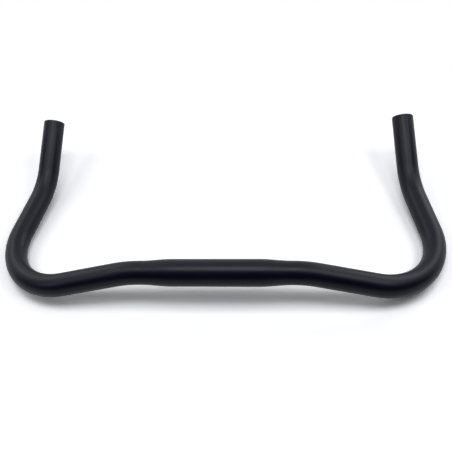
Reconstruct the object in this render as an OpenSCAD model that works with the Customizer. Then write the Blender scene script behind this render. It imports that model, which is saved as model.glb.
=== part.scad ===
// Bullhorn handlebar: one aluminium tube, swaged down from a thicker centre and bent three times on
// each half. The shoulders drop from the clamp, the corners turn forward and the kicks lift the ends
// of the horns.
// The origin is the middle of the stem clamp. +X runs along the clamp to the rider's right, +Y
// forward to the ends of the horns and +Z up, with the bar lying as it rests on a flat table.

/* [Clamp] */
// Outside diameter of the thick centre that the stem holds
clamp_d = 25.4; // [25.4:0.1:31.8]
// Length of the thick centre at its full diameter
clamp_len = 80; // [30:1:120]
// Length of the smooth taper on each side of the thick centre
taper_len = 30; // [10:1:60]

/* [Tube] */
// Outside diameter of the tube beyond the tapers
tube_d = 22.2; // [19:0.1:24]
// Thickness of the wall, the same all the way along
wall = 2.1; // [1.4:0.1:3.5]

/* [Shoulders] */
// Radius of the bend at each shoulder, to the middle of the tube
shoulder_r = 100; // [50:1:200]
// Angle of the bend at each shoulder
shoulder_angle = 14; // [2:0.5:30]
// Straight length from the shoulder to the corner
shoulder_len = 54.5; // [10:0.5:100]

/* [Corners] */
// Radius of the bend at each corner, to the middle of the tube
corner_r = 62.5; // [40:0.5:90]
// Angle of the bend at each corner
corner_angle = 104; // [80:0.5:115]
// Turn of the tube in the bender between the shoulder's bend and the corner's
corner_turn = 98; // [80:0.5:110]

/* [Horns] */
// Straight length from the corner to the kick
horn_len = 43.5; // [10:0.5:100]
// Radius of the bend at each kick, to the middle of the tube
kick_r = 80; // [50:1:150]
// Angle of the bend at each kick
kick_angle = 28.5; // [2:0.5:45]
// Turn of the tube in the bender between the corner's bend and the kick's
kick_turn = 90; // [60:0.5:120]
// Straight length at each open end, for the hand, a grip or a lever
grip_len = 53; // [30:0.5:150]
// Width of the small edge broken off each rim, outside and inside
rim_edge = 0.4; // [0.1:0.1:0.6]

/* [Lie] */
// Angle that the horns are lifted about the clamp as the bar lies, 0 where the shoulders drop plumb
horn_lift = -6.5; // [-20:0.5:20]

/* [Hidden] */
$fn = 96;
clamp_r = clamp_d / 2;
tube_r = tube_d / 2;
bore_r = tube_r - wall;
// Steps along the curve of each taper
taper_steps = 8;
// Distance that each length of tube stops short of a seam, where a ball joins it to the next
seam_gap = 0.2;
// Extra radius of the balls at the seams, which makes each a bead too low to feel
seam_swell = 0.03;
// Length that the bore is drawn past the open ends
spare_len = 5;

// Outside radius at a share of the way down a taper, level where it meets the clamp and the tube
function taper_radius(share) = clamp_r - (clamp_r - tube_r) * (1 - cos(180 * share)) / 2;

// Right half of the centre's outline, from the clamp out to the tube, moved in by the given depth
function half_outline(depth) = [
    for (i = [0 : taper_steps])
        let (share = i / taper_steps)
            [taper_radius(share) - depth, clamp_len / 2 + (taper_len - seam_gap) * share]
];

// A run of points taken from its far end back to its start
function backwards(points) = [for (i = [len(points) - 1 : -1 : 0]) points[i]];

// Thick centre and its two tapers, turned about X
module centre(depth) {
    right = half_outline(depth);
    left = [for (p = backwards(right)) [p[0], -p[1]]];
    rotate([0, 90, 0])
        rotate_extrude()
            polygon(concat([[0, left[0][1]]], left, right, [[0, right[taper_steps][1]]]));
}

// Ball that joins two lengths of tube at the seam between them
module seam(depth) {
    sphere(r = tube_r - depth + seam_swell);
}

// Straight length along Z from one seam to the next, with what follows it
module straight(length, depth) {
    seam(depth);
    translate([0, 0, seam_gap])
        cylinder(h = length - 2 * seam_gap, r = tube_r - depth);
    translate([0, 0, length])
        children();
}

// Bend from Z towards X between two seams, with what follows it carried round the bend's middle
module bend(radius, angle, depth) {
    gap_angle = seam_gap / radius * 180 / PI;
    seam(depth);
    translate([radius, 0, 0]) {
        rotate([90, 0, 180])
            rotate([0, 0, gap_angle])
                rotate_extrude(angle = angle - 2 * gap_angle)
                    translate([radius, 0])
                        circle(r = tube_r - depth);
        rotate([0, angle, 0])
            translate([-radius, 0, 0])
                children();
    }
}

// The tube turned about its own length, ready for the next bend
module turn(angle) {
    rotate([0, 0, angle])
        children();
}

// Last straight length, cut square, with the edge of its rim broken
module grip_outside() {
    seam(0);
    rotate_extrude()
        polygon([
            [0, seam_gap],
            [tube_r, seam_gap],
            [tube_r, grip_len - rim_edge],
            [tube_r - rim_edge, grip_len],
            [0, grip_len]
        ]);
}

// Bore of the last straight length, open at the end, with the edge of its rim broken
module grip_bore() {
    seam(wall);
    rotate_extrude()
        polygon([
            [0, seam_gap],
            [bore_r, seam_gap],
            [bore_r, grip_len - rim_edge],
            [bore_r + rim_edge + spare_len, grip_len + spare_len],
            [0, grip_len + spare_len]
        ]);
}

// Right half from the end of the taper to the open end, in the order it is bent
module half(depth) {
    translate([clamp_len / 2 + taper_len, 0, 0])
        rotate([0, 90, 0])
            bend(shoulder_r, shoulder_angle, depth)
            straight(shoulder_len, depth)
            turn(corner_turn)
            bend(corner_r, corner_angle, depth)
            straight(horn_len, depth)
            turn(kick_turn)
            bend(kick_r, kick_angle, depth)
            if (depth == 0) grip_outside(); else grip_bore();
}

// Everything inside the tube's surface at the given depth under its outside
module solid_bar(depth) {
    centre(depth);
    half(depth);
    mirror([1, 0, 0])
        half(depth);
}

// The whole bar, lying at rest
module handlebar() {
    color([0.09, 0.09, 0.1])
        rotate([horn_lift, 0, 0])
            difference() {
                solid_bar(0);
                solid_bar(wall);
            }
}

handlebar();
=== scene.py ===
# Bullhorn handlebar: one aluminium tube, swaged, bent and anodised black, lying on a pale table.
import math

import bmesh
import bpy
from mathutils import Matrix, Vector


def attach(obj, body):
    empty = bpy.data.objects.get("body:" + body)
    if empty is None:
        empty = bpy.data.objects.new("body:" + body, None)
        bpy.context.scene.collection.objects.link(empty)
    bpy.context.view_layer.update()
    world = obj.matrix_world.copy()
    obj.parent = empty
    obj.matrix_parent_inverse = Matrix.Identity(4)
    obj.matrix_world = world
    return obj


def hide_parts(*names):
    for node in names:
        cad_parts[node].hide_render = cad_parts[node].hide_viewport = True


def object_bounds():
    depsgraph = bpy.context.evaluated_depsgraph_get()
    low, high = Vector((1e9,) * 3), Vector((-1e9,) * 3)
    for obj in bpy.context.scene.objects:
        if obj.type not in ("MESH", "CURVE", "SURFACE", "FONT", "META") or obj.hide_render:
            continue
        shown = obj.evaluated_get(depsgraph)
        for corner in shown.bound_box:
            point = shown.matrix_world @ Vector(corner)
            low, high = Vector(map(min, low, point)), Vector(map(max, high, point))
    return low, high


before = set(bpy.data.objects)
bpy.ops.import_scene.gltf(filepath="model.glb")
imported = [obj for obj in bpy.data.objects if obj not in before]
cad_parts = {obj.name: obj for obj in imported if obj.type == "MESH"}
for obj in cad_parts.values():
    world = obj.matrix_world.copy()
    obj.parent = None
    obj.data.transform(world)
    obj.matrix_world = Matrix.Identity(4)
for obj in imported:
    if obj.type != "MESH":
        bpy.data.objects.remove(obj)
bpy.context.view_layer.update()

# Tube. The bar is one drawn aluminium tube. Its middle keeps the full 25.4 mm that the stem holds,
# and a swaging die squeezes it down to 22.2 mm on each side. A bender then makes three cold bends on
# each half, and the tight corner bend flattens a little in its own plane as it goes round the die.
MM = 0.001
clamp_radius = 12.7 * MM
tube_radius = 11.1 * MM
wall = 2.1 * MM
half_clamp = 40 * MM
taper_length = 30 * MM
shoulder = {"radius": 100 * MM, "angle": math.radians(14)}
shoulder_length = 54.5 * MM
corner = {"radius": 62.5 * MM, "angle": math.radians(104)}
corner_turn = math.radians(98)
horn_length = 43.5 * MM
kick = {"radius": 80 * MM, "angle": math.radians(28.5)}
kick_turn = math.radians(90)
grip_length = 53 * MM
rim_round = 0.4 * MM
lie = math.radians(-6.5)
corner_flattening = 0.045
corner_spread = 0.012
# Above 1, a bend is flattest past its middle, where the tube was drawn round the die last
flattening_delay = 1.3
segments_round = 96
taper_steps = 24
rim_steps = 5
bend_step = math.radians(1)
# Points nearer than this are one point
same_point = 0.001 * MM

bar = bmesh.new()
unbent = bar.verts.layers.float_vector.new("unbent")
rim_mark = bar.verts.layers.float.new("rim")
# Frame of the open end while the tube is made: Z runs out along the tube, X to the side it bends to
place = Matrix.Rotation(lie, 4, "X") @ Matrix.Rotation(math.radians(90), 4, "Y")
along = 0.0
rolled = 0.0


def start_ring(radius):
    """Open circle of the tube's wall at the middle of the clamp, as edges."""
    made = bmesh.ops.create_circle(bar, segments=segments_round, radius=radius, matrix=place)
    edges = {e for v in made["verts"] for e in v.link_edges}
    mark_unbent(made["verts"], 0.0)
    return list(edges)


def mark_unbent(verts, length):
    """Notes where points of the wall lay on the straight tube, before it was bent."""
    inward = place.inverted()
    roll_back = Matrix.Rotation(rolled, 3, "Z")
    for v in verts:
        p = inward @ v.co
        v[unbent] = roll_back @ Vector((p.x, p.y, length))


def feed(length, new_radius=None):
    """Runs the tube on along its own length, to a new outside radius where it is swaged or rounded."""
    global place, along
    for side in walls:
        made = bmesh.ops.extrude_edge_only(bar, edges=side["edges"])["geom"]
        verts = [g for g in made if isinstance(g, bmesh.types.BMVert)]
        side["edges"] = [g for g in made if isinstance(g, bmesh.types.BMEdge)]
        bmesh.ops.translate(bar, verts=verts, vec=place.to_3x3() @ Vector((0, 0, length)))
        if new_radius is not None:
            target = new_radius(side)
            share = target / side["radius"]
            bmesh.ops.scale(bar, verts=verts, vec=(share, share, 1), space=place.inverted())
            side["radius"] = target
        mark_unbent(verts, along + length)
    place = place @ Matrix.Translation((0, 0, length))
    along += length


def bend(shape, flattening=0.0, spread=0.0):
    """Bends the tube from Z towards X round a die, and flattens its section part of the way round."""
    global place, along
    radius, angle = shape["radius"], shape["angle"]
    out, back = place, place.inverted()
    roll_back = Matrix.Rotation(rolled, 3, "Z")
    for side in walls:
        before = len(bar.verts)
        ring = side["edges"] + list({v for e in side["edges"] for v in e.verts})
        made = bmesh.ops.spin(
            bar, geom=ring, cent=out @ Vector((radius, 0, 0)), axis=out.to_3x3() @ Vector((0, 1, 0)),
            angle=angle, steps=round(angle / bend_step), use_duplicate=False, use_merge=False,
        )["geom_last"]
        side["edges"] = [g for g in made if isinstance(g, bmesh.types.BMEdge)]
        bar.verts.ensure_lookup_table()
        for v in bar.verts[before:]:
            p = back @ v.co
            turned = math.atan2(p.z, radius - p.x)
            side_x = radius - math.hypot(p.z, radius - p.x)
            v[unbent] = roll_back @ Vector((side_x, p.y, along + radius * turned))
            way_round = min(1, max(0, turned / angle))
            press = math.sin(math.pi * way_round ** flattening_delay) ** 2
            side_x *= 1 - flattening * press
            reach = radius - side_x
            v.co = out @ Vector((
                radius - reach * math.cos(turned),
                p.y * (1 + spread * press),
                reach * math.sin(turned),
            ))
    to_die = Matrix.Translation((radius, 0, 0))
    place = out @ to_die @ Matrix.Rotation(angle, 4, "Y") @ to_die.inverted()
    along += radius * angle


def turn(angle):
    """Turns the tube in the bender, so that the next bend goes another way."""
    global place, rolled
    place = place @ Matrix.Rotation(angle, 4, "Z")
    rolled += angle


walls = [
    {"edges": start_ring(clamp_radius), "radius": clamp_radius, "outside": True},
    {"edges": start_ring(clamp_radius - wall), "radius": clamp_radius - wall, "outside": False},
]
feed(half_clamp)
for step in range(1, taper_steps + 1):
    ease = (1 - math.cos(math.pi * step / taper_steps)) / 2
    outside = clamp_radius + (tube_radius - clamp_radius) * ease
    feed(taper_length / taper_steps, lambda side: outside if side["outside"] else outside - wall)
bend(shoulder)
feed(shoulder_length)
turn(corner_turn)
bend(corner, corner_flattening, corner_spread)
feed(horn_length)
turn(kick_turn)
bend(kick)
feed(grip_length - rim_round)
for step in range(1, rim_steps + 1):
    around = [math.pi / 2 * (step - k) / rim_steps for k in (1, 0)]
    rise = rim_round * (math.sin(around[1]) - math.sin(around[0]))
    drawn_in = rim_round * (1 - math.cos(around[1]))
    feed(rise, lambda side: tube_radius - drawn_in if side["outside"] else tube_radius - wall + drawn_in)
# The saw's flat face runs from the outside wall in to the bore
outer, bore = walls
sawn_face = bmesh.ops.extrude_edge_only(bar, edges=outer["edges"])["geom"]
at_bore = [g for g in sawn_face if isinstance(g, bmesh.types.BMVert)]
share = bore["radius"] / outer["radius"]
bmesh.ops.scale(bar, verts=at_bore, vec=(share, share, 1), space=place.inverted())
mark_unbent(at_bore, along)
for v in at_bore + [v for side in walls for e in side["edges"] for v in e.verts]:
    v[rim_mark] = 1.0

bmesh.ops.mirror(bar, geom=bar.verts[:] + bar.edges[:] + bar.faces[:], merge_dist=same_point, axis="X")
for v in bar.verts:
    if v.co.x < 0:
        x, y, length = v[unbent]
        v[unbent] = (x, y, -length)
bmesh.ops.remove_doubles(bar, verts=bar.verts[:], dist=same_point)
bmesh.ops.recalc_face_normals(bar, faces=bar.faces[:])
for face in bar.faces:
    face.smooth = True
bar_mesh = bpy.data.meshes.new("handlebar_tube")
bar.to_mesh(bar_mesh)
bar.free()
tube = bpy.data.objects.new("handlebar_tube", bar_mesh)
bpy.context.scene.collection.objects.link(tube)
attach(tube, "root")
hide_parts("handlebar")

# The finish is satin black anodising over a fine blasted grain, as a bar maker does it after bending.
# The grain and the faint lines of the drawing die follow the tube round its bends, the dye varies a
# little from place to place, and the sawn rims take it slightly paler and rougher.
finish = bpy.data.materials.new("satin_black_anodised")
finish.use_nodes = True
nodes, links = finish.node_tree.nodes, finish.node_tree.links
surface = nodes["Principled BSDF"]
surface.inputs["IOR"].default_value = 1.30
on_tube = nodes.new("ShaderNodeAttribute")
on_tube.attribute_name = "unbent"
on_rim = nodes.new("ShaderNodeAttribute")
on_rim.attribute_name = "rim"

blast_grain = nodes.new("ShaderNodeTexNoise")
blast_grain.inputs["Scale"].default_value = 1600
blast_grain.inputs["Detail"].default_value = 3
links.new(on_tube.outputs["Vector"], blast_grain.inputs["Vector"])

along_tube = nodes.new("ShaderNodeMapping")
along_tube.inputs["Scale"].default_value = (1, 1, 0.012)
links.new(on_tube.outputs["Vector"], along_tube.inputs["Vector"])
draw_lines = nodes.new("ShaderNodeTexNoise")
draw_lines.inputs["Scale"].default_value = 1100
draw_lines.inputs["Detail"].default_value = 2
links.new(along_tube.outputs["Vector"], draw_lines.inputs["Vector"])

dye_clouds = nodes.new("ShaderNodeTexNoise")
dye_clouds.inputs["Scale"].default_value = 38
dye_clouds.inputs["Detail"].default_value = 4
links.new(on_tube.outputs["Vector"], dye_clouds.inputs["Vector"])

dye = nodes.new("ShaderNodeValToRGB")
dye.color_ramp.elements[0].position = 0.3
dye.color_ramp.elements[0].color = (0.0009, 0.0011, 0.0064, 1)
dye.color_ramp.elements[1].position = 0.7
dye.color_ramp.elements[1].color = (0.0023, 0.0024, 0.0099, 1)
links.new(dye_clouds.outputs["Fac"], dye.inputs["Fac"])
sawn = nodes.new("ShaderNodeMix")
sawn.data_type = "RGBA"
sawn.inputs["B"].default_value = (0.008, 0.008, 0.011, 1)
links.new(on_rim.outputs["Fac"], sawn.inputs["Factor"])
links.new(dye.outputs["Color"], sawn.inputs["A"])
links.new(sawn.outputs["Result"], surface.inputs["Base Color"])

grain_and_lines = nodes.new("ShaderNodeMix")
grain_and_lines.inputs["Factor"].default_value = 0.3
links.new(blast_grain.outputs["Fac"], grain_and_lines.inputs["A"])
links.new(draw_lines.outputs["Fac"], grain_and_lines.inputs["B"])
satin = nodes.new("ShaderNodeMapRange")
satin.inputs["From Min"].default_value = 0.3
satin.inputs["From Max"].default_value = 0.7
satin.inputs["To Min"].default_value = 0.34
satin.inputs["To Max"].default_value = 0.40
links.new(grain_and_lines.outputs["Result"], satin.inputs["Value"])
sawn_satin = nodes.new("ShaderNodeMix")
sawn_satin.inputs["B"].default_value = 0.5
links.new(on_rim.outputs["Fac"], sawn_satin.inputs["Factor"])
links.new(satin.outputs["Result"], sawn_satin.inputs["A"])
links.new(sawn_satin.outputs["Result"], surface.inputs["Roughness"])

texture = nodes.new("ShaderNodeBump")
texture.inputs["Strength"].default_value = 0.5
texture.inputs["Distance"].default_value = 0.02 * MM
links.new(grain_and_lines.outputs["Result"], texture.inputs["Height"])
links.new(texture.outputs["Normal"], surface.inputs["Normal"])
bar_mesh.materials.append(finish)

# Table. A plain white top takes the bar's soft shadow. The camera is exposed for the black bar, so it
# sees the top brighter than the top lights the bar, and plain white away from the bar. The top ends a
# little way in front of the bar, so that the bar's near side shows no more white than in the photograph.
table_left, table_right = -0.7, 0.7
table_front, table_back = -0.32, 0.9
table_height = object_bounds()[0].z
top_white = 0.9
# Added to the top's white for the camera alone
more_for_camera = 0.4
# The top fades to plain white between two distances from the point under the middle of the bar
fade_middle = (0, 0.07, table_height)
fade_start, fade_end = 0.26, 0.42
table_mesh = bmesh.new()
bmesh.ops.create_grid(
    table_mesh, x_segments=1, y_segments=1, size=0.5,
    matrix=Matrix.Translation((
        (table_left + table_right) / 2, (table_front + table_back) / 2, table_height,
    )) @ Matrix.Diagonal((table_right - table_left, table_back - table_front, 1, 1)),
)
top = bpy.data.meshes.new("table_top")
table_mesh.to_mesh(top)
table_mesh.free()
table = bpy.data.objects.new("table_top", top)
bpy.context.scene.collection.objects.link(table)
table_white = bpy.data.materials.new("table_white")
table_white.use_nodes = True
table_nodes, table_links = table_white.node_tree.nodes, table_white.node_tree.links
paint = table_nodes["Principled BSDF"]
paint.inputs["Base Color"].default_value = (top_white, top_white, top_white, 1)
paint.inputs["Roughness"].default_value = 0.6
place_on_table = table_nodes.new("ShaderNodeTexCoord")
from_bar = table_nodes.new("ShaderNodeVectorMath")
from_bar.operation = "DISTANCE"
from_bar.inputs[1].default_value = fade_middle
table_links.new(place_on_table.outputs["Object"], from_bar.inputs[0])
far_white = table_nodes.new("ShaderNodeMapRange")
far_white.interpolation_type = "SMOOTHSTEP"
far_white.inputs["From Min"].default_value = fade_start
far_white.inputs["From Max"].default_value = fade_end
table_links.new(from_bar.outputs["Value"], far_white.inputs["Value"])
table_ray = table_nodes.new("ShaderNodeLightPath")
seen_or_glossy = table_nodes.new("ShaderNodeMath")
seen_or_glossy.operation = "MAXIMUM"
table_links.new(table_ray.outputs["Is Camera Ray"], seen_or_glossy.inputs[0])
table_links.new(table_ray.outputs["Is Glossy Ray"], seen_or_glossy.inputs[1])
seen_or_shown = table_nodes.new("ShaderNodeMath")
seen_or_shown.operation = "MAXIMUM"
table_links.new(seen_or_glossy.outputs["Value"], seen_or_shown.inputs[0])
table_links.new(table_ray.outputs["Is Transmission Ray"], seen_or_shown.inputs[1])
fade = table_nodes.new("ShaderNodeMath")
fade.operation = "MULTIPLY"
table_links.new(far_white.outputs["Result"], fade.inputs[0])
table_links.new(seen_or_shown.outputs["Value"], fade.inputs[1])
camera_lift = table_nodes.new("ShaderNodeMath")
camera_lift.operation = "MULTIPLY"
camera_lift.inputs[1].default_value = more_for_camera
table_links.new(table_ray.outputs["Is Camera Ray"], camera_lift.inputs[0])
whiter = table_nodes.new("ShaderNodeBsdfDiffuse")
table_links.new(camera_lift.outputs["Value"], whiter.inputs["Color"])
bright_paint = table_nodes.new("ShaderNodeAddShader")
table_links.new(paint.outputs["BSDF"], bright_paint.inputs[0])
table_links.new(whiter.outputs["BSDF"], bright_paint.inputs[1])
plain_white = table_nodes.new("ShaderNodeEmission")
faded_table = table_nodes.new("ShaderNodeMixShader")
table_links.new(fade.outputs["Value"], faded_table.inputs["Fac"])
table_links.new(bright_paint.outputs["Shader"], faded_table.inputs[1])
table_links.new(plain_white.outputs["Emission"], faded_table.inputs[2])
table_links.new(faded_table.outputs["Shader"], table_nodes["Material Output"].inputs["Surface"])
top.materials.append(table_white)

# Light. Soft boxes stand round the table: one overhead, one high at each side, one low at the left of
# the photographer and three behind the bar. Glow is how bright a box's face is beside white paper, and
# together the boxes light white paper on the table to a little under its own white.
cool_white = (0.955, 0.965, 1.0)
aimed_at = Vector((0, 0.07, 0))
for name, spot, width, height, glow in (
    ("overhead_box", (0, -0.07, 1.20), 0.6, 0.45, 7.2),
    ("right_upper_box", (0.66, -0.05, 1.00), 0.6, 0.45, 4.4),
    ("left_upper_box", (-0.66, -0.05, 1.00), 0.6, 0.45, 2.9),
    ("left_front_box", (-1.02, -0.36, 0.69), 0.5, 0.5, 2.0),
    ("right_back_box", (0.82, 0.75, 0.75), 0.6, 0.5, 1.7),
    ("left_back_box", (-0.82, 0.75, 0.75), 0.6, 0.5, 2.0),
    ("low_right_box", (0.86, 0.93, 0.44), 0.6, 0.3, 3.1),
):
    lamp = bpy.data.lights.new(name, "AREA")
    lamp.shape = "RECTANGLE"
    lamp.size = width
    lamp.size_y = height
    lamp.energy = math.pi * width * height * glow
    lamp.color = cool_white
    holder = bpy.data.objects.new(name, lamp)
    holder.location = spot
    holder.rotation_euler = (aimed_at - Vector(spot)).to_track_quat("-Z", "Y").to_euler()
    bpy.context.scene.collection.objects.link(holder)

# Room. A white backdrop curves round behind the table and the room behind the photographer is dark.
# The bar's gloss shows both, and the camera sees only white past the edge of the table.
room = bpy.data.worlds.new("studio_room")
room.use_nodes = True
room_nodes, room_links = room.node_tree.nodes, room.node_tree.links
ray = room_nodes.new("ShaderNodeLightPath")
way = room_nodes.new("ShaderNodeTexCoord")
way_parts = room_nodes.new("ShaderNodeSeparateXYZ")
room_links.new(way.outputs["Generated"], way_parts.inputs["Vector"])
backdrop = room_nodes.new("ShaderNodeMapRange")
backdrop.interpolation_type = "SMOOTHSTEP"
backdrop.inputs["From Min"].default_value = 0.0
backdrop.inputs["From Max"].default_value = 0.25
room_links.new(way_parts.outputs["Y"], backdrop.inputs["Value"])
gloss_or_glass = room_nodes.new("ShaderNodeMath")
gloss_or_glass.operation = "MAXIMUM"
room_links.new(ray.outputs["Is Glossy Ray"], gloss_or_glass.inputs[0])
room_links.new(ray.outputs["Is Transmission Ray"], gloss_or_glass.inputs[1])
reflected = room_nodes.new("ShaderNodeMath")
reflected.operation = "MULTIPLY"
room_links.new(gloss_or_glass.outputs["Value"], reflected.inputs[0])
room_links.new(backdrop.outputs["Result"], reflected.inputs[1])
seen = room_nodes.new("ShaderNodeMath")
seen.operation = "MAXIMUM"
room_links.new(ray.outputs["Is Camera Ray"], seen.inputs[0])
room_links.new(reflected.outputs["Value"], seen.inputs[1])
room_nodes["Background"].inputs["Color"].default_value = (1, 1, 1, 1)
room_links.new(seen.outputs["Value"], room_nodes["Background"].inputs["Strength"])
bpy.context.scene.world = room
bpy.context.scene.view_settings.view_transform = "Standard"

# Camera. It stands on the rider's side of the bar, a little to the right, and looks down on it with a
# lens of normal length, as the photographer's did. Everything is in focus.
eye = bpy.data.cameras.new("camera")
eye.lens = 51.74
eye.sensor_width = 36
tripod = bpy.data.objects.new("camera", eye)
tripod.location = (0.05479, -0.35784, 0.47080)
tripod.rotation_euler = [math.radians(angle) for angle in (41.443, 3.438, 2.693)]
bpy.context.scene.collection.objects.link(tripod)
bpy.context.scene.camera = tripod
